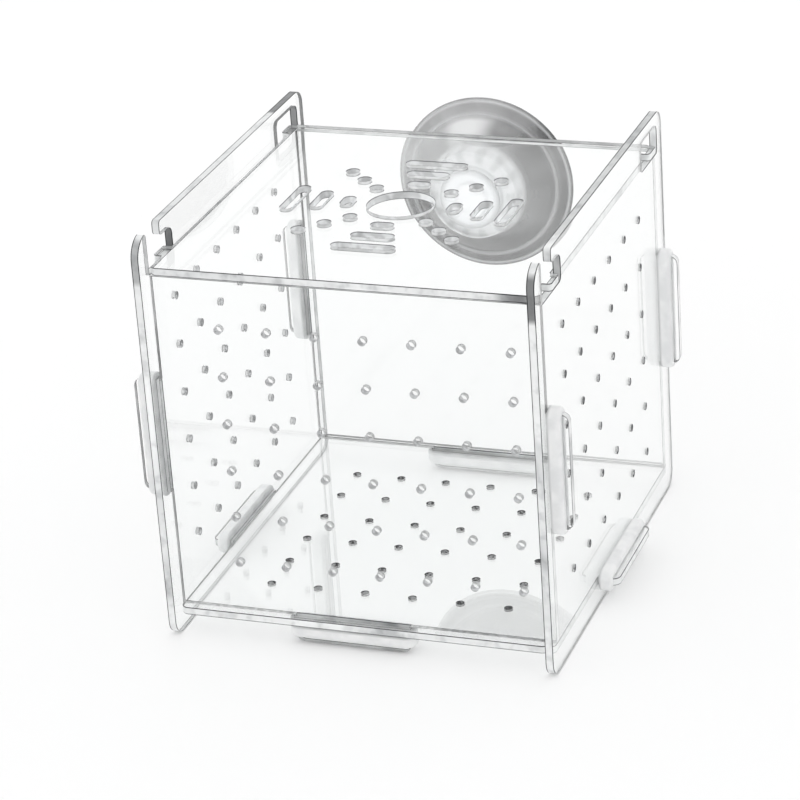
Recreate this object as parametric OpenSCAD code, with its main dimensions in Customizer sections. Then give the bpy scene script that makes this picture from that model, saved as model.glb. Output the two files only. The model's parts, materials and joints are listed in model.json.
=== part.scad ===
// Clear breeding box that hangs in a fish tank by one suction cup.
// Six sheets lock together by tabs in slots, each tab held by a soft sleeve.
// The origin is under the middle of the whole object, +Z up, and the cup faces +Y.

/* [Box] */
// Thickness of every sheet
sheet_t = 2; // [1.5:0.1:4]
// Width over the outer faces of the side panels
box_w = 100; // [90:1:160]
// Depth over the outer faces of the front and back panels
box_d = 100; // [90:1:160]
// Height of the side panels
side_h = 106; // [96:1:160]
// How far the side panels stand past the front, back and bottom panels
flange = 5; // [4:0.5:10]
// How far the bottom panel reaches past the front and back panels
bottom_lip = 2; // [1:0.5:4]
// Radius of the side panels' outer corners
side_corner_r = 4; // [1:0.5:5]
// Radius of the bottom panel's corners
bottom_corner_r = 2; // [0.5:0.5:2.5]
// Gap left where two fixed sheets meet
joint_gap = 0.1; // [0.05:0.05:0.3]

/* [Tabs and sleeves] */
// Length of each tab along its edge
tab_len = 30; // [16:1:40]
// How far a tab stands out past the sheet it goes through
tab_out = 5; // [4.5:0.5:5]
// How far the front panel's bottom tab lies to the left of the middle
front_tab_shift = 3; // [0:0.5:8]
// Radius of a tab's outer corners
tab_r = 2; // [0.5:0.5:2.5]
// How far a sleeve reaches past each end of its tab
sleeve_end = 1.5; // [1:0.5:4]
// Sleeve wall beside the tab
sleeve_wall = 2; // [1:0.25:4]
// Thickness of a sleeve, measured away from the sheet
sleeve_t = 3.5; // [2.5:0.25:4]
// Rounding of a sleeve's outer edge
sleeve_r = 1.2; // [0.4:0.1:1.6]

/* [Lid] */
// Depth of the lid's top below the side panels' top edge
lid_sink = 8.5; // [8:0.5:14]
// Gap between the lid and each side panel
lid_side_gap = 0.25; // [0.15:0.05:0.6]
// Gap between the lid and the edges that it slides on
lid_rest_gap = 0.2; // [0.1:0.05:0.4]
// Distance that the lid slides forward to leave the hooks
lid_travel = 7; // [5:0.5:8]
// Radius of the lid's corners
lid_corner_r = 1.5; // [0.5:0.5:3]
// Length of each front ear
front_ear = 6.4; // [4:0.2:7]
// Length of each rear ear
rear_ear = 6; // [4:0.2:7]
// Radius of the ears' corners
ear_r = 1; // [0.3:0.1:1.5]
// Distance from the lid's rear edge to its rear ears
rear_ear_inset = 0.5; // [0.5:0.5:3]
// Diameter of the feeding hole
feed_d = 17; // [10:0.5:22]
// How far the feeding hole and the vents lie to the left of the lid's middle
feed_shift = 1.5; // [0:0.5:3]

/* [Lid vents] */
// Distance from the lid's centre to the first ring of vents
vent_start = 13.9; // [13:0.1:16]
// Distance from one ring of vents to the next
vent_step = 7; // [5:0.05:8]
// Number of vents in each arm
vent_count = 3; // [1:1:3]
// Width of the vent slots
vent_w = 3.2; // [2:0.1:4]
// Length of the shortest vent slot
vent_len = 5.9; // [5:0.1:8]
// Length that each further slot gains
vent_gain = 5.2; // [2:0.1:6]
// Diameter of the round vents
vent_dot_d = 3.5; // [2:0.1:4]

/* [Lid catch] */
// Width of the horn in front of the notch
horn_w = 5.4; // [4:0.2:6]
// Radius of the horn's rear corner
horn_r = 1; // [0.2:0.1:1.8]
// Space left in front of a front ear once the lid has slid forward
catch_play = 0.2; // [0.1:0.1:0.6]
// Space left behind a locked front ear
hook_depth_play = 1.5; // [0.5:0.25:3]
// Space left in front of a locked front ear, outside the hook's tip
hook_tip_gap = 0.9; // [-1:0.1:1]
// Height of the space over an ear, under the hook
hook_lift = 4.8; // [2:0.2:6]
// Radius of the notch's inner corners, at most the play beside the ear where it sits low
notch_r = 2; // [0.5:0.25:2.5]
// Radius of the hook's tip
hook_tip_r = 1; // [0.3:0.1:1.4]
// Space left in front of a rear ear at the end of its slide
window_front_play = 0.5; // [0.1:0.1:2]
// Space left behind a rear ear
window_back_play = 1.2; // [0.2:0.2:3]
// Height of the space over a rear ear
window_lift = 5.5; // [2:0.25:6]
// Radius of the window's corners
window_r = 1.8; // [0.5:0.1:2.5]

/* [Water holes] */
// Diameter of the water holes
hole_d = 2; // [1:0.1:4]
// Columns of holes in a side panel
side_cols = 6; // [2:1:8]
// Rows of holes in a side panel
side_rows = 6; // [2:1:8]
// Distance between the columns in a side panel
side_pitch_y = 13.3; // [8:0.1:14]
// Distance between the rows in a side panel
side_pitch_z = 12.9; // [8:0.1:14]
// How far the side panels' holes lie in front of their middle
side_shift = 1.5; // [0:0.5:4]
// Height of the middle of the side panels' holes
side_holes_z = 52; // [48:0.5:56]
// Columns of holes in the front panel
front_cols = 7; // [2:1:7]
// Rows of holes in the front panel
front_rows = 6; // [2:1:6]
// Distance between the columns in the front panel
front_pitch_x = 12.2; // [7:0.1:12.4]
// Distance between the rows in the front panel
front_pitch_z = 12.5; // [7:0.1:13]
// How far the front panel's holes lie to the right of its middle
front_shift = 5; // [0:0.5:5]
// Columns and rows of holes in the bottom panel
bottom_count = 6; // [2:1:7]
// Distance between the bottom panel's columns
bottom_pitch_x = 12.5; // [7:0.1:13]
// Distance between the bottom panel's rows
bottom_pitch_y = 12.7; // [7:0.1:13]
// How far the bottom panel's holes lie to the right of its middle
bottom_shift_x = 1.3; // [0:0.1:3]
// How far the bottom panel's holes lie in front of its middle
bottom_shift_y = 2.7; // [0:0.1:4]

/* [Suction cup] */
// Diameter of the cup's rim
cup_d = 48; // [40:1:50]
// Distance from the back panel to the plane of the rim
cup_depth = 12; // [10:0.5:16]
// Thickness of the cup's lip
lip_t = 1.6; // [0.8:0.1:2]
// Width of the flat lip round the bowl
lip_w = 4; // [3:0.25:5]
// Wall of the bowl at its mouth
mouth_wall = 1.2; // [0.8:0.1:2]
// Wall of the bowl at its middle
cup_wall = 2.5; // [2:0.25:3]
// Height of the cup's middle below the side panels' top edge
cup_drop = 26.5; // [26:0.5:40]
// Diameter of the neck in the back panel
neck_d = 8; // [6:0.5:12]
// Running gap round the neck
neck_gap = 0.08; // [0.05:0.01:0.1]
// Diameter of the round head inside the box
head_d = 16.5; // [14:0.5:22]
// Thickness of the round head
head_t = 2; // [1.5:0.25:4]
// Gap between the back panel and the cup's head and shoulder
cup_gap = 0.1; // [0.05:0.05:0.3]
// Diameter of the hub that bears on the back panel
hub_d = 24; // [18:0.5:26]
// Height of the hub at the cup's middle
hub_t = 1.5; // [1:0.25:2.5]

/* [Hidden] */
$fn = 48;

// Depths are counted from the side panels' front edges
side_d = box_d + 2 * flange;
inner_w = box_w - 2 * sheet_t;
front_y = flange;
back_y = front_y + box_d - sheet_t;
rim_y = front_y + box_d + cup_depth;
middle_y = rim_y / 2;
side_mid_y = side_d / 2;

// Levels
floor_z = flange;
floor_top = floor_z + sheet_t;
lid_top = side_h - lid_sink;
lid_low = lid_top - sheet_t;
wall_top = lid_low - lid_rest_gap;
wall_mid_z = (floor_top + wall_top) / 2;
tab_mid_z = side_h / 2;
cup_z = side_h - cup_drop;

// A tab's root runs through the neighbouring sheet, and its slot is a joint gap larger all round
tab_reach = sheet_t + joint_gap + tab_out;
slot_len = tab_len + 2 * joint_gap;
slot_w = sheet_t + 2 * joint_gap;

// The lid's ears and the openings in the side panels follow each other
lid_w = inner_w - 2 * lid_side_gap;
ear_out = (box_w - lid_w) / 2;
rear_ear_y = front_y + box_d - rear_ear_inset - rear_ear;
front_ear_y = horn_w + catch_play + lid_travel;
notch_back_y = front_ear_y + front_ear + hook_depth_play;
hook_tip_y = front_ear_y + hook_tip_gap;
hook_under_z = lid_top + hook_lift;
window_y = rear_ear_y - lid_travel - window_front_play;
window_end_y = rear_ear_y + rear_ear + window_back_play;
window_top_z = lid_top + window_lift;

feed_y = front_y + box_d / 2;
eps = 0.01;
over = 1;

// Quarter arc that is taken off the corner of a sheet at the origin
module corner_bit(r) {
    difference() {
        translate([-over, -over])
            square([r + over, r + over]);
        translate([r, r])
            circle(r);
    }
}

// Rectangle from the origin, its corner radii given anticlockwise from the low corner
module sheet_outline(w, h, radii) {
    corners = [[0, 0], [w, 0], [w, h], [0, h]];
    difference() {
        square([w, h]);
        for (i = [0:3])
            if (radii[i] > 0)
                translate(corners[i])
                    rotate(90 * i)
                        corner_bit(radii[i]);
    }
}

module hole_grid(cols, rows, pitch_x, pitch_y, d) {
    for (i = [0:cols - 1], j = [0:rows - 1])
        translate([(i - (cols - 1) / 2) * pitch_x, (j - (rows - 1) / 2) * pitch_y])
            circle(d = d, $fn = 24);
}

// Tab that points along +X from its root line, centred on it
module tab_outline() {
    translate([-eps, -tab_len / 2])
        sheet_outline(tab_reach + eps, tab_len, [0, tab_r, tab_r, 0]);
}

module slot_outline(along_x) {
    square(along_x ? [slot_len, slot_w] : [slot_w, slot_len], center = true);
}

// Notch that the front ear drops into, with its undercut behind the hook, seen in Y and Z
module catch_notch() {
    translate([horn_w, lid_low - lid_rest_gap]) {
        sheet_outline(notch_back_y - horn_w, hook_under_z - lid_low + lid_rest_gap,
            [0, min(notch_r, hook_depth_play), notch_r, 0]);
        square([hook_tip_y - horn_w, lid_sink + sheet_t + lid_rest_gap + over]);
    }
    translate([horn_w, side_h])
        mirror([1, 0])
            mirror([0, 1])
                corner_bit(horn_r);
    translate([hook_tip_y, side_h])
        mirror([0, 1])
            corner_bit(hook_tip_r);
    translate([hook_tip_y, hook_under_z])
        corner_bit(hook_tip_r);
}

// Window for the rear ear; the lower corners are no rounder than the play beside the ear
module rear_window() {
    translate([window_y, lid_low - lid_rest_gap])
        sheet_outline(window_end_y - window_y, window_top_z - lid_low + lid_rest_gap,
            [min(window_r, window_front_play), min(window_r, window_back_play), window_r, window_r]);
}

// Side panel in Y and Z
module side_outline() {
    difference() {
        sheet_outline(side_d, side_h, [side_corner_r, side_corner_r, side_corner_r, horn_w - eps]);
        catch_notch();
        rear_window();
        for (y = [front_y + sheet_t / 2, back_y + sheet_t / 2])
            translate([y, tab_mid_z])
                slot_outline(false);
        translate([side_mid_y, floor_z + sheet_t / 2])
            slot_outline(true);
        translate([side_mid_y - side_shift, side_holes_z])
            hole_grid(side_cols, side_rows, side_pitch_y, side_pitch_z, hole_d);
    }
}

// Stands a sheet drawn in Y and Z up at x, growing towards +X
module stand_side(x) {
    translate([x, -middle_y, 0])
        rotate([90, 0, 90])
            linear_extrude(sheet_t)
                children();
}

// Stands a sheet drawn in X and Z up at y, growing towards +Y
module stand_cross(y) {
    translate([0, y + sheet_t - middle_y, 0])
        rotate([90, 0, 0])
            linear_extrude(sheet_t)
                children();
}

// Lays a sheet drawn in X and Y down at z
module lay(z) {
    translate([0, -middle_y, z])
        linear_extrude(sheet_t)
            children();
}

// Front and back panels in X and Z, with one tab at each side and one at the bottom
module cross_outline(bottom_tab_x) {
    wall_w = inner_w - 2 * joint_gap;
    translate([-wall_w / 2, floor_top + joint_gap])
        square([wall_w, wall_top - floor_top - joint_gap]);
    for (side = [0, 1])
        mirror([side, 0])
            translate([wall_w / 2, tab_mid_z])
                tab_outline();
    translate([bottom_tab_x, floor_top + joint_gap])
        rotate(-90)
            tab_outline();
}

module left_panel() {
    color([0.86, 0.92, 0.93, 0.45])
        stand_side(-box_w / 2)
            side_outline();
}

module right_panel() {
    color([0.86, 0.92, 0.93, 0.45])
        stand_side(box_w / 2 - sheet_t)
            side_outline();
}

module front_panel() {
    color([0.86, 0.92, 0.93, 0.45])
        stand_cross(front_y)
            difference() {
                cross_outline(-front_tab_shift);
                translate([front_shift, wall_mid_z])
                    hole_grid(front_cols, front_rows, front_pitch_x, front_pitch_z, hole_d);
            }
}

module back_panel() {
    color([0.86, 0.92, 0.93, 0.45])
        stand_cross(back_y)
            difference() {
                cross_outline(0);
                translate([0, cup_z])
                    circle(d = neck_d + 2 * neck_gap);
            }
}

module bottom_panel() {
    floor_w = inner_w - 2 * joint_gap;
    floor_d = box_d + 2 * bottom_lip;
    color([0.86, 0.92, 0.93, 0.45])
        lay(floor_z)
            difference() {
                union() {
                    translate([-floor_w / 2, front_y - bottom_lip])
                        sheet_outline(floor_w, floor_d, [bottom_corner_r, bottom_corner_r,
                            bottom_corner_r, bottom_corner_r]);
                    for (side = [0, 1])
                        mirror([side, 0])
                            translate([floor_w / 2, side_mid_y])
                                tab_outline();
                }
                translate([-front_tab_shift, front_y + sheet_t / 2])
                    slot_outline(true);
                translate([0, back_y + sheet_t / 2])
                    slot_outline(true);
                translate([bottom_shift_x, side_mid_y - bottom_shift_y])
                    hole_grid(bottom_count, bottom_count, bottom_pitch_x, bottom_pitch_y, hole_d);
            }
}

module vent_slot(len) {
    square([len - vent_w, vent_w], center = true);
    for (end = [-1, 1])
        translate([end * (len - vent_w) / 2, 0])
            circle(d = vent_w, $fn = 24);
}

// Feeding hole with an arm of slots on each side and an arm of dots on each diagonal
module lid_cuts() {
    circle(d = feed_d);
    for (arm = [0:3], i = [0:vent_count - 1])
        rotate(90 * arm)
            translate([0, vent_start + i * vent_step])
                vent_slot(vent_len + i * vent_gain);
    for (arm = [0:3], i = [0:vent_count - 1])
        rotate(45 + 90 * arm)
            translate([vent_start + i * vent_step, 0])
                circle(d = vent_dot_d, $fn = 24);
}

module ear_outline(len) {
    translate([-eps, 0])
        sheet_outline(ear_out + eps, len, [0, ear_r, ear_r, 0]);
}

module lid() {
    color([0.86, 0.92, 0.93, 0.45])
        lay(lid_low)
            difference() {
                union() {
                    translate([-lid_w / 2, front_y])
                        sheet_outline(lid_w, box_d, [lid_corner_r, lid_corner_r, 0, 0]);
                    for (side = [0, 1])
                        mirror([side, 0])
                            translate([lid_w / 2, 0]) {
                                translate([0, front_ear_y])
                                    ear_outline(front_ear);
                                translate([0, rear_ear_y])
                                    ear_outline(rear_ear);
                            }
                }
                translate([-feed_shift, feed_y])
                    lid_cuts();
            }
}

// Half of a sleeve's cross-section, from the tab's middle outwards, with its outer edge rounded
module sleeve_profile() {
    sheet_outline(sheet_t / 2 + sleeve_wall, sleeve_t, [0, 0, sleeve_r, 0]);
}

// Soft sleeve lying on a sheet at z = 0, pushed over a tab that runs along X
module sleeve() {
    half_run = tab_len / 2 + sleeve_end - sheet_t / 2 - sleeve_wall;
    color([0.93, 0.94, 0.93, 0.9])
        difference() {
            union() {
                for (side = [0, 1])
                    mirror([0, side, 0])
                        translate([-half_run, 0, 0])
                            rotate([90, 0, 90])
                                linear_extrude(2 * half_run)
                                    sleeve_profile();
                for (end = [-1, 1])
                    translate([end * half_run, 0, 0])
                        rotate_extrude()
                            sleeve_profile();
            }
            translate([-slot_len / 2, -slot_w / 2, -over])
                cube([slot_len, slot_w, sleeve_t + 2 * over]);
        }
}

// Sleeve on a side panel's outer face, on a tab that stands upright or lies level
module side_sleeve(side, y, z, upright) {
    translate([side * box_w / 2, y - middle_y, z])
        rotate([0, side * 90, 0])
            rotate(upright ? 0 : 90)
                sleeve();
}

// Sleeve under the bottom panel, on the bottom tab of the front or back panel
module floor_sleeve(x, y) {
    translate([x, y - middle_y, floor_z])
        rotate([180, 0, 0])
            sleeve();
}

module clip_front_left() { side_sleeve(-1, front_y + sheet_t / 2, tab_mid_z, true); }
module clip_front_right() { side_sleeve(1, front_y + sheet_t / 2, tab_mid_z, true); }
module clip_back_left() { side_sleeve(-1, back_y + sheet_t / 2, tab_mid_z, true); }
module clip_back_right() { side_sleeve(1, back_y + sheet_t / 2, tab_mid_z, true); }
module clip_bottom_left() { side_sleeve(-1, side_mid_y, floor_z + sheet_t / 2, false); }
module clip_bottom_right() { side_sleeve(1, side_mid_y, floor_z + sheet_t / 2, false); }
module clip_bottom_front() { floor_sleeve(-front_tab_shift, front_y + sheet_t / 2); }
module clip_bottom_back() { floor_sleeve(0, back_y + sheet_t / 2); }

// Radius of the arc that rises by h over a half width of w
function arc_r(w, h) = (w * w + h * h) / (2 * h);

// Half disc of a dish: its lowest point lies on the axis at y, and its arc passes w at the height h
module dish_arc(y, w, h) {
    intersection() {
        translate([0, y + arc_r(w, h)])
            circle(arc_r(w, h), $fn = 180);
        translate([0, y - over])
            square([w, h + over]);
    }
}

// Half section of the cup: x is the radius and y runs from the head inside the box to the rim
module cup_section() {
    head_y = back_y - cup_gap;
    base_y = back_y + sheet_t + cup_gap;
    dish_y = base_y + hub_t;
    bowl_w = cup_d / 2 - lip_w;
    dish_h = rim_y - lip_t - dish_y;
    difference() {
        union() {
            translate([0, head_y - head_t])
                sheet_outline(head_d / 2, head_t, [0, head_t / 2, head_t / 4, 0]);
            translate([0, head_y - eps])
                square([neck_d / 2, base_y - head_y + 2 * eps]);
            translate([0, base_y])
                square([hub_d / 2, dish_h / 2]);
            dish_arc(dish_y, bowl_w, dish_h);
            translate([0, rim_y - lip_t - eps])
                square([cup_d / 2, lip_t + eps]);
        }
        dish_arc(dish_y + cup_wall, bowl_w - mouth_wall, rim_y + eps - dish_y - cup_wall);
    }
}

module suction_cup() {
    color([0.82, 0.84, 0.85, 0.7])
        translate([0, -middle_y, cup_z])
            rotate([-90, 0, 0])
                rotate_extrude($fn = 72)
                    cup_section();
}

left_panel();
right_panel();
front_panel();
back_panel();
bottom_panel();
lid();
clip_front_left();
clip_front_right();
clip_back_left();
clip_back_right();
clip_bottom_left();
clip_bottom_right();
clip_bottom_front();
clip_bottom_back();
suction_cup();
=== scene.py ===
import json
import math
import bmesh
import bpy
from mathutils import Matrix, Vector

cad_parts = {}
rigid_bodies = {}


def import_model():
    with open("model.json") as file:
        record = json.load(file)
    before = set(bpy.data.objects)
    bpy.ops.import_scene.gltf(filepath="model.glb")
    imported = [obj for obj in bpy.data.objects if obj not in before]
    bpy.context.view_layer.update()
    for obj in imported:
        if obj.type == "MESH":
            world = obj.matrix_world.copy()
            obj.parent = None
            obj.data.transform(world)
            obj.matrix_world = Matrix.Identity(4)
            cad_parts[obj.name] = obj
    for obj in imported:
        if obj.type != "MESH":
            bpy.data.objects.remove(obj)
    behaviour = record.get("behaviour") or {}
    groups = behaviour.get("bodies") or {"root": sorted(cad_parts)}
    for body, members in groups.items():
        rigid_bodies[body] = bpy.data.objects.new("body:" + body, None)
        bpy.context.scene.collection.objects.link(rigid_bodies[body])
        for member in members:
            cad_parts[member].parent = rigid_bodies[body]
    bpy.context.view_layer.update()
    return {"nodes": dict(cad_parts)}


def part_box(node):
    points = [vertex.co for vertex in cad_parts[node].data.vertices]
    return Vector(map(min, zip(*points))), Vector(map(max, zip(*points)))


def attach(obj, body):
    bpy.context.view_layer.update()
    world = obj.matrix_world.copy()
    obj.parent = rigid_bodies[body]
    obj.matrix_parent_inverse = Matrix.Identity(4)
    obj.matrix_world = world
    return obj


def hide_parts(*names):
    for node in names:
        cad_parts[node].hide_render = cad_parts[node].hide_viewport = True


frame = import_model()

mm = 0.001
print("frame loaded:", len(frame["nodes"]), "nodes")


# Every operator works on what is selected, so each piece starts from a clean selection
def deselectAll():
    for o in bpy.context.view_layer.objects:
        o.select_set(False)


def pick(obj):
    deselectAll()
    obj.select_set(True)
    bpy.context.view_layer.objects.active = obj


def editMode(obj, kind="FACE"):
    pick(obj)
    bpy.ops.object.mode_set(mode="EDIT")
    bpy.ops.mesh.select_mode(type=kind)
    bpy.ops.mesh.select_all(action="DESELECT")


def chooseWhere(obj, kind, test):    # selects the faces, edges or points that pass a test
    mesh = bmesh.from_edit_mesh(obj.data)
    items = {"FACE": mesh.faces, "EDGE": mesh.edges, "VERT": mesh.verts}[kind]
    for item in items:
        item.select_set(bool(test(item)))
    mesh.select_flush_mode()
    bmesh.update_edit_mesh(obj.data)


def objectMode():
    bpy.ops.object.mode_set(mode="OBJECT")


def place(obj):    # puts the piece's place into its mesh
    pick(obj)
    bpy.ops.object.transform_apply(location=True, rotation=True, scale=True)


def applyModifier(obj, kind, **settings):
    pick(obj)
    modifier = obj.modifiers.new(kind.title(), kind)
    for name, value in settings.items():
        setattr(modifier, name, value)
    bpy.ops.object.modifier_apply(modifier=modifier.name)


def smooth(obj, degrees):
    pick(obj)
    bpy.ops.object.shade_smooth_by_angle(angle=math.radians(degrees))


# Shader maths reads as plain expressions on sockets
class Wire:
    def __init__(self, nodes, socket):
        self.nodes = nodes
        self.socket = socket

    def maths(self, operation, *others):
        return self.nodes.make("ShaderNodeMath", {"operation": operation},
                               dict(enumerate((self,) + others)))

    def __add__(self, other):
        return self.maths("ADD", other)

    def __sub__(self, other):
        return self.maths("SUBTRACT", other)

    def __mul__(self, other):
        return self.maths("MULTIPLY", other)

    def __truediv__(self, other):
        return self.maths("DIVIDE", other)

    def __rsub__(self, other):
        return (self * -1) + other

    __radd__ = __add__
    __rmul__ = __mul__

    def size(self):
        return self.maths("ABSOLUTE")

    def below(self, limit):
        return self.maths("LESS_THAN", limit)

    def upTo(self, limit):
        return self.maths("MINIMUM", limit)

    def fade(self, low, high):    # 0 at low, 1 at high
        return self.nodes.make("ShaderNodeMapRange", {"interpolation_type": "SMOOTHSTEP"},
                               {"Value": self, "From Min": low, "From Max": high})

    def band(self, rise, fall):    # 1 between its rise and its fall
        return self.fade(*rise) * (1 - self.fade(*fall))


class Nodes:
    def __init__(self, block, output="ShaderNodeOutputMaterial"):
        block.use_nodes = True
        self.block = block
        self.tree = block.node_tree
        self.tree.nodes.clear()
        self.output = self.tree.nodes.new(output)

    def make(self, kind, settings=None, inputs=None, out=0):
        node = self.tree.nodes.new(kind)
        for name, value in (settings or {}).items():
            if name == "stops":
                self.setStops(node.color_ramp, value)
            else:
                setattr(node, name, value)
        for name, value in (inputs or {}).items():
            self.connect(node.inputs[name], value)
        return Wire(self, node.outputs[out])

    def setStops(self, ramp, stops):
        while len(ramp.elements) < len(stops):
            ramp.elements.new(1)
        for element, (position, colour) in zip(ramp.elements, stops):
            element.position = position
            element.color = colour

    def connect(self, socket, value):
        if isinstance(value, Wire):
            self.tree.links.new(value.socket, socket)
        else:
            socket.default_value = value

    def place(self):
        return self.make("ShaderNodeTexCoord", out="Object")

    def split(self, vector):
        node = self.tree.nodes.new("ShaderNodeSeparateXYZ")
        self.connect(node.inputs[0], vector)
        return [Wire(self, socket) for socket in node.outputs]

    def noise(self, scale, detail):
        return self.make("ShaderNodeTexNoise", None,
                         {"Vector": self.place(), "Scale": scale, "Detail": detail})

    def patches(self, scale, detail, low, high):    # soft patches, where the noise is over its levels
        return self.noise(scale, detail).fade(low, high)

    def mixColour(self, factor, first, second):    # a Mix node has its colours at 6 and 7
        return self.make("ShaderNodeMix", {"data_type": "RGBA"}, {0: factor, 6: first, 7: second}, out=2)

    def shader(self, **sockets):
        inputs = {name.replace("_", " "): value for name, value in sockets.items()}
        return self.make("ShaderNodeBsdfPrincipled", None, inputs)

    def bump(self, height, strength, distance):
        return self.make("ShaderNodeBump", None,
                         {"Height": height, "Strength": strength, "Distance": distance})

    def finish(self, surface):
        self.connect(self.output.inputs["Surface"], surface)
        return self.block


def newMaterial(name):
    return Nodes(bpy.data.materials.new(name))


def coolGrey(tone):
    return (tone, tone * 1.01, tone * 1.02, 1)


sheetFinish = {
    "tint": (0.992, 0.997, 0.996, 1),
    "thickness": 2.0 * mm,
    "roughness": 0.003,
    "polish": (35, 2.0),          # scale and detail of the noise in the roughness
    "polishSpread": 0.004,
    "faceDepth": 0.02 * mm,       # a cut face starts this deep under the broad face
    "arrisWidth": 0.21 * mm,
    "arrisFade": (1.4, 0.6),      # where its painted dark line of shade starts and is full, in widths
    "arrisShadeStrength": 0.95,
    # A cut face's frosted light grey, its painted shade, and the dark of its painted lines and zones of
    # shade
    "edgeLight": (0.93, 0.94, 0.94, 1),
    "edgeShade": (0.42, 0.43, 0.44, 1),
    "edgeDark": (0.03, 0.032, 0.035, 1),
    "edgeRoughness": 0.4,
    # a painted glow for the light that runs inside the sheet
    "edgeGlow": 0.10,
    # Noises that paint shade in patches along a cut edge: scale, detail and levels, then how strongly
    # they do
    "drift": (18, 1.0, 0.45, 0.80),
    "streaks": (300, 3.0, 0.45, 0.70),
    "stretches": (70, 2.0, 0.52, 0.72),
    "driftShade": 0.5,
    "streakShade": 0.35,
    "stretchShade": 0.6,
    "glintDetail": 2.0,
    "glintLevels": (0.42, 0.58),
    # How far a cut face hides what lies behind it
    "cover": 0.80,
    "arrisCover": 0.3,
    "driftCover": 0.1,
    "holeCover": 0.12,            # taken off at the holes
    "mostCover": 0.97,
}


# Share of a box-shaped zone of painted shade, with soft borders; the zone has no end along an axis that
# isn't named
def zoneShare(places, limits, soft):
    share = 1
    for axisName, (low, high) in limits.items():
        along = places["xyz".index(axisName)]
        share = along.band((low * mm - soft, low * mm), (high * mm, high * mm + soft)) * share
    return share


# Clear sheet: the broad faces are polished, the cut faces are a frosted light grey with painted shade in
# patches and a painted dark line of shade along each arris.
# Light that is caught inside leaves some stretches of cut edge dark: those are the zones, where that
# shade is painted on.
def clearSheet(name, axis, middle, look):
    finish = sheetFinish
    nodes = newMaterial(name)
    places = nodes.split(nodes.place())
    depth = (places[axis] - middle[axis]).size()
    half = finish["thickness"] / 2
    cutFace = depth.below(half - finish["faceDepth"])
    arris = depth.fade(*(half - finish["arrisWidth"] * widths for widths in finish["arrisFade"]))
    nearHoles = 1
    for i in range(3):
        if i != axis:
            nearHoles = (places[i] - middle[i]).size().below(look["holeSpan"] * mm) * nearHoles
    drift = nodes.patches(*finish["drift"])
    streaks = nodes.patches(*finish["streaks"])
    stretches = nodes.patches(*finish["stretches"])
    # Painted shade on the stretches of cut edge that light caught inside leaves dark
    dark = 0
    for limits, strength in look["zones"]:
        dark = zoneShare(places, limits, look["zoneSoft"] * mm) * strength + dark

    polish = nodes.noise(*finish["polish"]) * finish["polishSpread"] + finish["roughness"]
    clear = nodes.shader(Base_Color=finish["tint"], Roughness=polish, IOR=look["ior"],
                         Transmission_Weight=1.0)

    # Painted shade in patches along the cut edge, over its frosted light grey
    shade = drift * finish["driftShade"] + streaks * finish["streakShade"]
    shade = (shade + stretches * finish["stretchShade"]).upTo(1)
    rimFill = nodes.mixColour(shade, finish["edgeLight"], finish["edgeShade"])
    # Painted glints and painted shade on the hole walls
    glints = nodes.patches(look["glintScale"], finish["glintDetail"], *finish["glintLevels"])
    holeFill = nodes.mixColour(glints, *(coolGrey(tone) for tone in look["holeTones"]))
    fill = nodes.mixColour(nearHoles, rimFill, holeFill)
    # Painted dark lines of shade along each arris, with their own strength at the holes
    rimArrisShade = finish["arrisShadeStrength"]
    arrisShade = arris * (rimArrisShade - nearHoles * (rimArrisShade - look["holeLine"]))
    colour = nodes.mixColour((arrisShade + dark).upTo(1), fill, finish["edgeDark"])
    # A cut edge is also seen from inside the sheet, so it has no mirror part.
    # Its faint glow is painted light, standing for the light that runs inside the sheet.
    edge = nodes.shader(Base_Color=colour, Roughness=finish["edgeRoughness"], Specular_IOR_Level=0.0,
                        Emission_Color=colour, Emission_Strength=finish["edgeGlow"])
    cover = arris * finish["arrisCover"] - nearHoles * finish["holeCover"] + drift * finish["driftCover"]
    cover = (cover + dark + finish["cover"]).upTo(finish["mostCover"])
    return nodes.finish(nodes.make("ShaderNodeMixShader", None, {0: cutFace * cover, 1: clear, 2: edge}))


sheetShape = {
    "weld": 0.002 * mm,
    "flatAngle": 0.5,      # flatter than this, two faces become one
    "arris": 0.09 * mm,
    "arrisAngle": 50,      # sharper than this, an edge gets its arris
    "smoothAngle": 30,
}


# The sheets keep the shape of their solids and get a fine polished arris
def finishedSheet(node, piece, body, material):
    shape = sheetShape
    source = frame["nodes"][node]
    mesh = source.data.copy()
    obj = bpy.data.objects.new(piece, mesh)
    bpy.context.scene.collection.objects.link(obj)
    editMode(obj)
    bpy.ops.mesh.select_all(action="SELECT")
    bpy.ops.mesh.remove_doubles(threshold=shape["weld"])
    bpy.ops.mesh.dissolve_limited(angle_limit=math.radians(shape["flatAngle"]))
    objectMode()
    if mesh.has_custom_normals:
        pick(obj)
        bpy.ops.mesh.customdata_custom_splitnormals_clear()
    applyModifier(obj, "BEVEL", width=shape["arris"], segments=1, limit_method="ANGLE",
                  angle_limit=math.radians(shape["arrisAngle"]), use_clamp_overlap=True)
    smooth(obj, shape["smoothAngle"])
    obj.data.materials.clear()
    obj.data.materials.append(material)
    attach(obj, body)
    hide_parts(node)
    return obj
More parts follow.
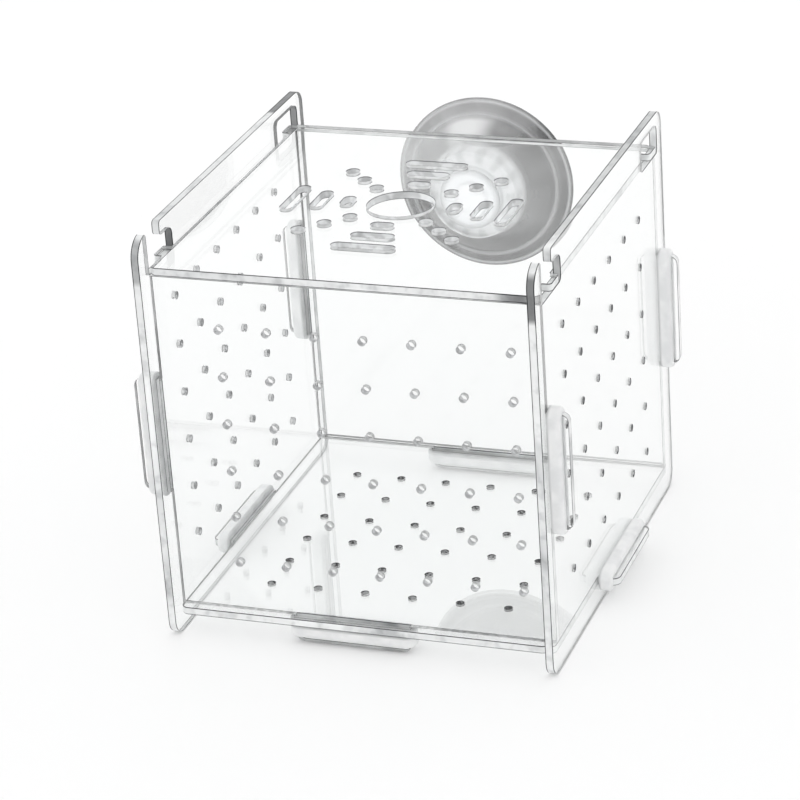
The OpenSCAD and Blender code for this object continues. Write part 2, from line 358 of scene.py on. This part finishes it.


# axis: square to the broad faces; ior: sets how strong the mirror images are
# holeSpan: how far the holes reach from the middle; zones: stretches of cut edge with painted shade
# holeTones: painted light and shade of the hole walls; holeLine: how dark the painted shade on the
# holes' rims is
# Lengths are in millimetres
sheets = {
    "left_panel": {
        "piece": "leftPanel", "body": "box", "axis": 0, "ior": 1.22,
        "holeSpan": 40, "holeTones": (0.90, 0.48), "holeLine": 0.6, "glintScale": 900,
        "zoneSoft": 2.5,
        "zones": [({"y": (50, 52), "z": (72, 107)}, 0.6),
                  ({"y": (33, 48), "z": (93, 107)}, 0.7),
                  ({"y": (-39, -37), "z": (94, 102)}, 0.8),
                  ({"y": (-59, -57), "z": (96, 106)}, 0.5)],
    },
    "right_panel": {
        "piece": "rightPanel", "body": "box", "axis": 0, "ior": 1.6,
        "holeSpan": 40, "holeTones": (0.90, 0.30), "holeLine": 0.9, "glintScale": 900,
        "zoneSoft": 2.5,
        "zones": [({"y": (50, 52), "z": (72, 98)}, 0.5),
                  ({"y": (-59, -57), "z": (94, 103)}, 0.8),
                  ({"y": (-39, -37), "z": (94, 102)}, 0.5),
                  ({"y": (-36, 51), "z": (105, 107)}, 0.35)],
    },
    "front_panel": {
        "piece": "frontPanel", "body": "box", "axis": 1, "ior": 1.35,
        "holeSpan": 46, "holeTones": (0.92, 0.66), "holeLine": 0.4, "glintScale": 900,
        "zoneSoft": 4,
        "zones": [({"x": (47, 49), "z": (68, 96)}, 0.9),
                  ({"x": (-49, -47), "z": (68, 80)}, 0.3)],
    },
    "back_panel": {
        "piece": "backPanel", "body": "box", "axis": 1, "ior": 1.35,
        "holeSpan": 20, "holeTones": (0.86, 0.60), "holeLine": 0.5, "glintScale": 900,
        "zoneSoft": 4,
        "zones": [({"x": (-49, -47), "z": (60, 96)}, 0.6)],
    },
    "bottom_panel": {
        "piece": "bottomPanel", "body": "box", "axis": 2, "ior": 1.85,
        "holeSpan": 46, "holeTones": (0.62, 0.10), "holeLine": 1, "glintScale": 900,
        "zoneSoft": 8,
        "zones": [({"x": (-48, 0), "y": (48, 49)}, 0.35)],
    },
    "lid": {
        "piece": "slidingLid", "body": "lid", "axis": 2, "ior": 1.22,
        "holeSpan": 46, "holeTones": (0.94, 0.66), "holeLine": 0.8, "glintScale": 260,
        "zoneSoft": 10,
        "zones": [({"x": (45, 49), "y": (-55, -53)}, 0.75)],
    },
}
for node, look in sheets.items():
    low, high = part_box(node)
    middle = [(low[i] + high[i]) / 2 for i in range(3)]
    material = clearSheet(look["piece"] + " acrylic", look["axis"], middle, look)
    sheet = finishedSheet(node, look["piece"], look["body"], material)
print("sheets finished")


sleeveFinish = {
    "body": (0.95, 0.955, 0.955, 1),
    "shade": (0.70, 0.71, 0.72, 1),
    "cloud": (220, 3.0, 0.3, 0.7),    # scale, detail and levels
    "cloudShade": 0.5,
    "foot": (0.40, 0.405, 0.41, 1),    # painted shade where it lies against the sheet
    "footShadeFade": (0.06 * mm, 0.9 * mm),
    "footShadeStrength": 0.9,
    "footShadeCloud": 0.35,
    "roughness": 0.38,
    "cloudRoughness": 0.12,
    "grain": (2600, 2.0),
    "grainStrength": 0.12,
    "grainHeight": 0.05 * mm,
    "ior": 1.42,
    "clearShare": 0.15,
    "milkyShare": 0.3,
    "milkyDepth": 0.4 * mm,
}


def frostedSleeve(name, axis, side, foot):
    look = sleeveFinish
    nodes = newMaterial(name)
    height = nodes.split(nodes.place())[axis] * side - foot
    cloud = nodes.patches(*look["cloud"])
    body = nodes.mixColour(cloud * look["cloudShade"], look["body"], look["shade"])
    # Painted shade where the sleeve lies against the sheet, broken a little by the cloud
    onSheet = 1 - height.fade(*look["footShadeFade"])
    paintedFootShade = onSheet * (look["footShadeStrength"] - cloud * look["footShadeCloud"])
    colour = nodes.mixColour(paintedFootShade, body, look["foot"])
    grain = nodes.bump(nodes.noise(*look["grain"]), look["grainStrength"], look["grainHeight"])
    surface = nodes.shader(Base_Color=colour, IOR=look["ior"], Transmission_Weight=look["clearShare"],
                           Roughness=cloud * look["cloudRoughness"] + look["roughness"],
                           Subsurface_Weight=look["milkyShare"], Subsurface_Scale=look["milkyDepth"],
                           Subsurface_Radius=(1, 1, 1), Normal=grain)
    return nodes.finish(surface)


sleeve = {
    "length": 33 * mm,
    "width": 6 * mm,
    "height": 3.46 * mm,
    "lift": 0.04 * mm,          # off the sheet, so that their faces stay apart
    "slitLength": 30.2 * mm,
    "slitWidth": 2.2 * mm,
    "crown": (1.3 * mm, 6),     # rounding of the outer edge, and its steps
    "foot": (0.35 * mm, 3),     # rounding where it lies on the sheet
    "lip": (0.3 * mm, 3),       # rounding of the slit's mouth
    "endPoints": 40,
    "smoothAngle": 40,
}


# One sleeve lies on z = 0 and runs along X: a long round-ended ring with a slit for the tab
def modelSleeve():
    size = sleeve
    radius = size["width"] / 2
    run = size["length"] / 2 - radius
    bpy.ops.mesh.primitive_circle_add(vertices=size["endPoints"], radius=radius, fill_type="NGON",
                                      rotation=(0, 0, math.pi / size["endPoints"]))
    obj = bpy.context.active_object
    place(obj)
    editMode(obj, "VERT")
    for side in (1, -1):
        chooseWhere(obj, "VERT", lambda v: v.co.x * side > 0)
        bpy.ops.transform.translate(value=(side * run, 0, 0))
    bpy.ops.mesh.select_mode(type="FACE")
    bpy.ops.mesh.select_all(action="SELECT")
    bpy.ops.mesh.extrude_region_move(TRANSFORM_OT_translate={"value": (0, 0, size["height"])})
    bpy.ops.mesh.select_all(action="SELECT")
    bpy.ops.mesh.normals_make_consistent(inside=False)
    chooseWhere(obj, "FACE", lambda f: abs(f.normal.z) > 0.9)    # the top and the foot
    bpy.ops.mesh.inset(thickness=(size["width"] - size["slitWidth"]) / 2, depth=0)
    slitNow = 2 * run + size["slitWidth"]
    bpy.ops.transform.resize(value=(size["slitLength"] / slitNow, 1, 1), center_override=(0, 0, 0))
    bpy.ops.mesh.bridge_edge_loops()

    def offCore(edge):    # how far an edge lies from the middle line
        point = (edge.verts[0].co + edge.verts[1].co) / 2
        return math.hypot(max(abs(point.x) - run, 0), point.y)

    def level(edge, height):
        return all(abs(v.co.z - height) < 0.01 * mm for v in edge.verts)

    def sharp(edge):    # the faces beside it are over a radian apart
        return abs(edge.calc_face_angle(0)) > 1

    bpy.ops.mesh.select_mode(type="EDGE")
    outside = radius * 0.8    # between the slit's edge and the outer edge
    rounds = [(size["height"], True, "crown"), (0, True, "foot"), (size["height"], False, "lip")]
    for height, outer, name in rounds:
        rounding, steps = size[name]
        chooseWhere(obj, "EDGE", lambda e: level(e, height) and sharp(e)
                    and (offCore(e) > outside) == outer)
        bpy.ops.mesh.bevel(offset=rounding, segments=steps, profile=0.5, affect="EDGES")
    objectMode()
    return obj


sleeves = {    # node: name, where it faces, turn about its own axis
    "clip_front_left": ("frontLeftSleeve", "left", 0),
    "clip_front_right": ("frontRightSleeve", "right", 0),
    "clip_back_left": ("backLeftSleeve", "left", 0),
    "clip_back_right": ("backRightSleeve", "right", 0),
    "clip_bottom_left": ("bottomLeftSleeve", "left", 90),
    "clip_bottom_right": ("bottomRightSleeve", "right", 90),
    "clip_bottom_front": ("bottomFrontSleeve", "down", 0),
    "clip_bottom_back": ("bottomBackSleeve", "down", 0),
}
facings = {    # turn about Y, axis, side of the axis
    "left": (-90, 0, -1),
    "right": (90, 0, 1),
    "down": (180, 2, -1),
}

firstSleeve = modelSleeve()
smooth(firstSleeve, sleeve["smoothAngle"])
sleeveMaterials = {}
for node, (piece, facing, spin) in sleeves.items():
    low, high = (Vector(corner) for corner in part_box(node))
    outward, axis, side = facings[facing]
    if facing not in sleeveMaterials:
        footPlane = min(low[axis] * side, high[axis] * side)
        sleeveMaterials[facing] = frostedSleeve("frosted sleeve " + facing, axis, side, footPlane)
    obj = bpy.data.objects.new(piece, firstSleeve.data.copy())
    bpy.context.scene.collection.objects.link(obj)
    turn = Matrix.Rotation(math.radians(outward), 4, "Y") @ Matrix.Rotation(math.radians(spin), 4, "Z")
    foot = (low + high) / 2 - turn @ Vector((0, 0, (sleeve["height"] - sleeve["lift"]) / 2))
    obj.matrix_world = Matrix.Translation(foot) @ turn
    place(obj)
    obj.data.materials.append(sleeveMaterials[facing])
    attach(obj, "box")
    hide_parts(node)
bpy.data.objects.remove(firstSleeve)
print("sleeves finished")


cup = {
    "points": 96,
    "axisHeight": 79.5 * mm,
    "rim": 24.0 * mm,
    "bowlBase": 48.1,           # outer face of the bowl on its axis
    "bowlArc": 27.13,
    "bowlSpan": (13.6, 19.5),
    "hollowBase": 50.6,         # inner face of the bowl on its axis
    "hollowArc": 26.3,
    "hollowSpan": (18.4, 0.8),
    "rings": 12,
    "weld": 0.001 * mm,
    "smoothAngle": 50,
    # radius and depth in millimetres, from the middle of the head to the bowl
    "head": [(1.0, 42.4), (3.5, 42.45), (5.6, 42.62), (7.0, 42.92), (7.8, 43.28), (8.15, 43.62),
             (8.25, 43.9), (8.18, 44.15), (7.95, 44.34), (7.6, 44.4), (5.2, 44.4), (4.5, 44.42),
             (4.15, 44.5), (4.0, 44.7), (4.0, 46.3), (4.06, 46.48), (4.4, 46.6)],
    "hub": [(11.3, 46.6), (11.7, 46.66), (11.92, 46.85), (12.0, 47.15), (12.03, 49.3), (12.2, 50.2),
            (12.5, 50.85), (13.0, 51.35)],
    "lip": [(19.75, 56.42), (19.95, 56.25), (20.2, 56.2), (20.45, 56.3), (20.6, 56.55), (20.9, 56.9),
            (22.0, 57.35), (23.1, 57.68), (23.25, 57.58), (23.45, 57.55), (23.62, 57.64),
            (23.85, 57.85), (24.0, 58.05), (24.0, 58.3), (23.93, 58.44), (23.8, 58.5), (22.0, 58.48),
            (19.6, 58.46), (19.1, 58.4), (18.75, 58.25)],
}


def arcPoints(base, arcRadius, first, last):
    steps = cup["rings"]
    radii = [first + (last - first) * step / steps for step in range(steps + 1)]
    return [(radius, base + arcRadius - math.sqrt(arcRadius ** 2 - radius ** 2)) for radius in radii]


# Half section from the head inside the box to the lip, then back along the hollow
def cupSection():
    bowl = arcPoints(cup["bowlBase"], cup["bowlArc"], *cup["bowlSpan"])
    hollow = arcPoints(cup["hollowBase"], cup["hollowArc"], *cup["hollowSpan"])
    points = cup["head"] + cup["hub"] + bowl + cup["lip"] + hollow
    return [(radius * mm, depth * mm) for radius, depth in points]


# The cup grows ring by ring from the middle of its head
def modelCup():
    section = cupSection()
    (radius, depth), height = section[0], cup["axisHeight"]
    bpy.ops.mesh.primitive_circle_add(vertices=cup["points"], radius=radius, fill_type="NGON",
                                      location=(0, depth, height), rotation=(math.pi / 2, 0, 0))
    obj = bpy.context.active_object
    place(obj)
    editMode(obj, "EDGE")
    bpy.ops.mesh.select_all(action="SELECT")
    for nextRadius, nextDepth in section[1:]:
        bpy.ops.mesh.extrude_edges_move(TRANSFORM_OT_translate={"value": (0, nextDepth - depth, 0)})
        share = nextRadius / radius
        bpy.ops.transform.resize(value=(share, 1, share), center_override=(0, nextDepth, height))
        radius, depth = nextRadius, nextDepth
    bpy.ops.mesh.edge_face_add()
    bpy.ops.mesh.select_all(action="SELECT")
    bpy.ops.mesh.remove_doubles(threshold=cup["weld"])
    bpy.ops.mesh.normals_make_consistent(inside=False)
    objectMode()
    smooth(obj, cup["smoothAngle"])
    return obj


cupFinish = {
    # Grey at shares of the radius, from the axis to the rim: painted light and shade for the white hub,
    # the head's dark outline and the lip's light and dark rings; the bowl's dark grey is partly the
    # plastic's own grey, partly painted shade
    "stops": [(0.0, 0.94), (0.27, 0.92), (0.315, 0.66), (0.340, 0.52), (0.365, 0.84), (0.50, 0.84),
              (0.56, 0.20), (0.70, 0.13), (0.80, 0.11), (0.835, 0.60), (0.865, 0.13), (0.94, 0.12),
              (0.965, 0.74), (0.985, 0.12), (1.0, 0.08)],
    "light": (0.90, 0.905, 0.91, 1),
    "lightFrom": (-0.6, 0.8),     # the painted sheen is lightest towards the upper left
    "lightLevels": (-0.1, 0.8),
    "lightShare": 0.45,
    "cloud": (150, 3.0, 0.35, 0.7),
    "cloudShare": 0.12,
    "rays": {"count": 3, "noise": (60, 2.0), "wander": 1.2, "turn": 1.8, "levels": (0.0, 1.0)},
    "rayBand": ((0.52, 0.60), (0.76, 0.82)),
    "rayShare": 0.12,
    "rayLight": 0.5,              # painted sheen, added on the lit side
    # painted shade in spokes round the hub
    "paintedRibs": {"count": 14, "noise": (120, 2.0), "wander": 3, "turn": 0, "levels": (-0.5, 1.0)},
    "ribBand": ((0.36, 0.41), (0.50, 0.53)),
    "ribShare": 0.5,
    "ribShade": (0.42, 0.425, 0.43, 1),
    "hubGlowFade": (0.40, 0.54),    # painted glow: the hub glows faintly up to here
    "hubGlowStrength": 0.10,
    "roughness": 0.08,
    "cloudRoughness": 0.08,
    "ior": 1.5,
    "clearShare": 0.6,
}


# Spokes round the cup's axis, which noise bends a little
def spokes(nodes, around, look):
    wander = nodes.noise(*look["noise"]) * look["wander"]
    return (around * look["count"] + wander + look["turn"]).maths("SINE").fade(*look["levels"])


# Soft clear plastic with painted light and shade: a white hub with a painted glow, a bowl darkened
# partly by painted shade, a painted sheen towards the upper left, painted shade in spokes round the hub,
# and the lip's rings, seen through it, painted as light and dark rings
def softCup():
    look = cupFinish
    nodes = newMaterial("soft cup")
    places = nodes.split(nodes.place())
    x = places[0]
    up = places[2] - cup["axisHeight"]
    around = up.maths("ARCTAN2", x)
    radius = (x * x + up * up).maths("SQRT") / cup["rim"]
    stops = [(position, coolGrey(tone)) for position, tone in look["stops"]]
    shades = nodes.make("ShaderNodeValToRGB", {"stops": stops}, {0: radius})
    # Painted sheen: light towards the upper left of the bowl, and in rays round its axis
    fromX, fromUp = look["lightFrom"]
    lit = ((up * fromUp + x * fromX) / cup["rim"]).fade(*look["lightLevels"])
    rays = spokes(nodes, around, look["rays"]) * radius.band(*look["rayBand"])
    cloud = nodes.patches(*look["cloud"])
    sheen = rays * (lit * look["rayLight"] + look["rayShare"]) + lit * look["lightShare"]
    colour = nodes.mixColour(sheen + cloud * look["cloudShare"], shades, look["light"])
    # Painted shade in spokes round the hub; the cup's shape has no such ridges
    paintedRibs = spokes(nodes, around, look["paintedRibs"]) * radius.band(*look["ribBand"])
    colour = nodes.mixColour(paintedRibs * look["ribShare"], colour, look["ribShade"])
    # The hub's painted glow
    hubGlow = nodes.mixColour(1 - radius.fade(*look["hubGlowFade"]), (0, 0, 0, 1), colour)
    surface = nodes.shader(Base_Color=colour, IOR=look["ior"], Transmission_Weight=look["clearShare"],
                           Roughness=cloud * look["cloudRoughness"] + look["roughness"],
                           Emission_Color=hubGlow, Emission_Strength=look["hubGlowStrength"])
    return nodes.finish(surface)


suctionCup = modelCup()
suctionCup.name = "suctionCup"
suctionCup.data.materials.append(softCup())
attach(suctionCup, "cup")
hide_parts("suction_cup")
print("cup finished")


studio = {
    "floorSize": 12,
    "floorDrop": 0.2 * mm,
    "floor": (0.94, 0.94, 0.94, 1),
    "floorMottle": (0.96, 0.96, 0.96, 1),
    "mottle": (3, 2.0),
    "floorRoughness": 0.9,
    "tent": 1.06,
    "bounces": 20,
}


def makeStage():
    bpy.ops.mesh.primitive_plane_add(size=studio["floorSize"], location=(0, 0, -studio["floorDrop"]))
    floor = bpy.context.active_object
    floor.name = "floor"
    place(floor)
    nodes = newMaterial("pale floor")
    colour = nodes.mixColour(nodes.noise(*studio["mottle"]), studio["floor"], studio["floorMottle"])
    surface = nodes.shader(Base_Color=colour, Roughness=studio["floorRoughness"])
    floor.data.materials.append(nodes.finish(surface))


# Soft light comes evenly from all round, as in a white tent
def makeWorld():
    world = bpy.data.worlds.new("studio")
    bpy.context.scene.world = world
    nodes = Nodes(world, "ShaderNodeOutputWorld")
    nodes.finish(nodes.make("ShaderNodeBackground", None,
                            {"Color": (1, 1, 1, 1), "Strength": studio["tent"]}))


# Clear sheets pass the light that falls on the floor inside them, and stay sharp from there too
def setLightPaths():
    paths = bpy.context.scene.cycles
    paths.blur_glossy = 0.0
    paths.max_bounces = studio["bounces"]
    paths.transmission_bounces = studio["bounces"]


photo = {
    "azimuth": 0.364423,
    "elevation": 0.427598,
    "roll": -0.070967,
    "place": (267.04 * mm, -717.69 * mm, 392.22 * mm),
    "lens": 149.07,
    "sensor": 36,
    "clipStart": 10 * mm,
}


def makeCamera():
    data = bpy.data.cameras.new("camera")
    data.lens = photo["lens"]
    data.sensor_width = photo["sensor"]
    data.clip_start = photo["clipStart"]
    camera = bpy.data.objects.new("camera", data)
    bpy.context.scene.collection.objects.link(camera)
    turn = Matrix.Rotation(photo["azimuth"], 4, "Z")
    tilt = Matrix.Rotation(math.pi / 2 - photo["elevation"], 4, "X")
    roll = Matrix.Rotation(photo["roll"], 4, "Z")
    camera.matrix_world = Matrix.Translation(photo["place"]) @ turn @ tilt @ roll
    bpy.context.scene.camera = camera


makeStage()
makeWorld()
setLightPaths()
makeCamera()
bpy.context.scene.view_settings.view_transform = "Standard"
print("stage, light and camera made")
